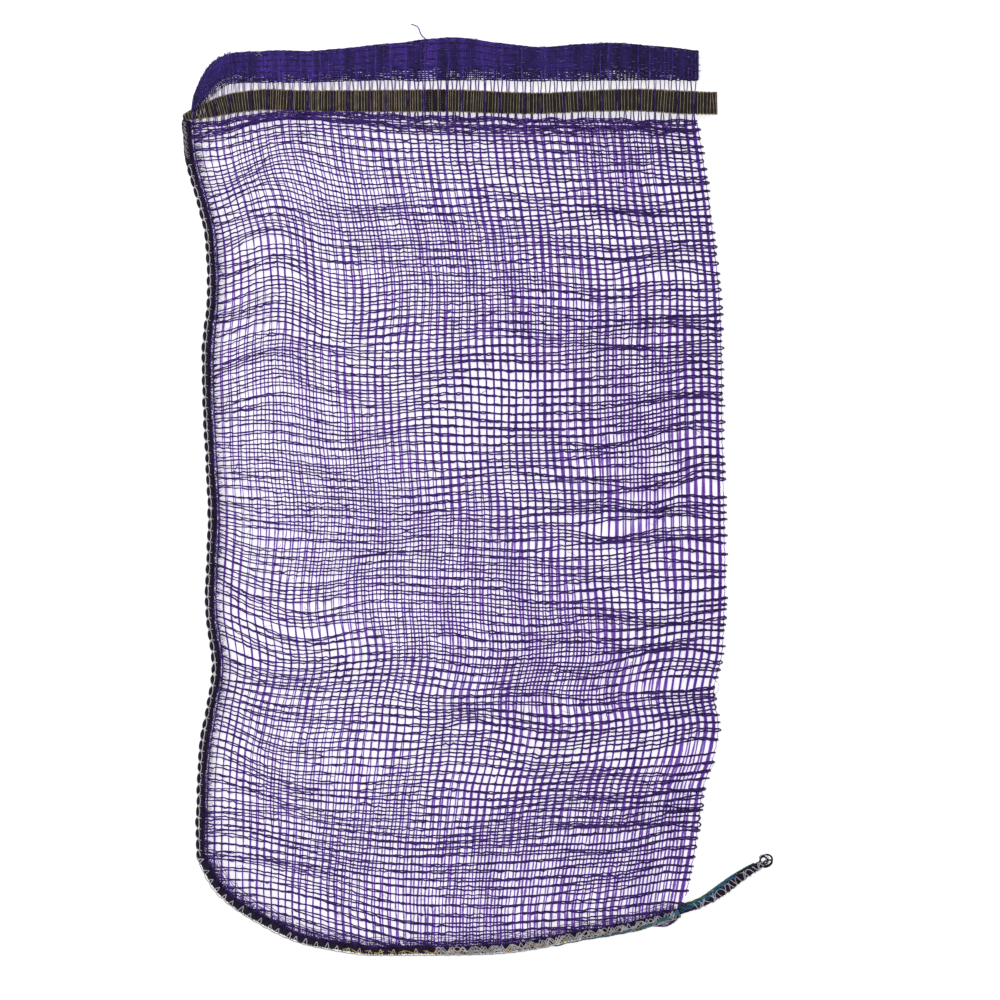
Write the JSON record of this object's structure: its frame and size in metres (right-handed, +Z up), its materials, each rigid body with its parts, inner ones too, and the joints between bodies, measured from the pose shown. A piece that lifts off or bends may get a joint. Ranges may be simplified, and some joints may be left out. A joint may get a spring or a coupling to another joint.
{
  "type": "mesh ball bag",
  "caption": "Flat knitted mesh drawstring sack for carrying and storing balls, with a dense hem, an open drawstring channel, an overlocked side and bottom seam and a free thread tail.",
  "frame": {"origin": "under the middle of the empty bag as it lies flat, on the surface it lies on, measured without the free thread tail", "axes": "+X across the bag from the side seam to the folded edge, +Y from the bottom seam to the mouth, +Z up out of the flat bag"},
  "size_m": [0.3789, 0.5879, 0.0092],
  "materials": {
    "net_yarn": "satin",
    "hem_yarn": "satin",
    "channel_yarn": "satin",
    "seam_yarn": "matt",
    "pale_thread": "matt",
    "yellow_thread": "satin",
    "woven_tape": "matt",
    "tack_thread": "matt",
    "blue_thread": "matt",
    "green_thread": "matt",
    "loop_thread": "satin"
  },
  "bodies": {
    "bag": {"net_back": "net_yarn", "net_front": "net_yarn", "net_fold": "net_yarn", "hem_back": "hem_yarn", "hem_front": "hem_yarn", "hem_fold": "hem_yarn", "channel_yarns_back": "channel_yarn", "channel_yarns_front": "channel_yarn", "side_seam_core": "seam_yarn", "side_seam_looper": "seam_yarn", "side_seam_chain": "pale_thread", "corner_seam_core": "seam_yarn", "corner_seam_stitches": "pale_thread", "bottom_seam_core": "seam_yarn", "bottom_seam_stitches": "pale_thread", "bottom_seam_yellow_thread": "yellow_thread", "tail_core": "seam_yarn", "tail_chain": "pale_thread", "tail_blue_thread": "blue_thread", "tail_green_thread": "green_thread", "tail_end_loop": "loop_thread"},
    "drawstring": {"drawstring_tape": "woven_tape", "drawstring_tack": "tack_thread"}
  },
  "joints": [
    {"name": "drawstring_pull", "type": "slide", "parent": "bag", "child": "drawstring", "axis": [1, 0, 0], "range_m": [0, 0.17]}
  ]
}
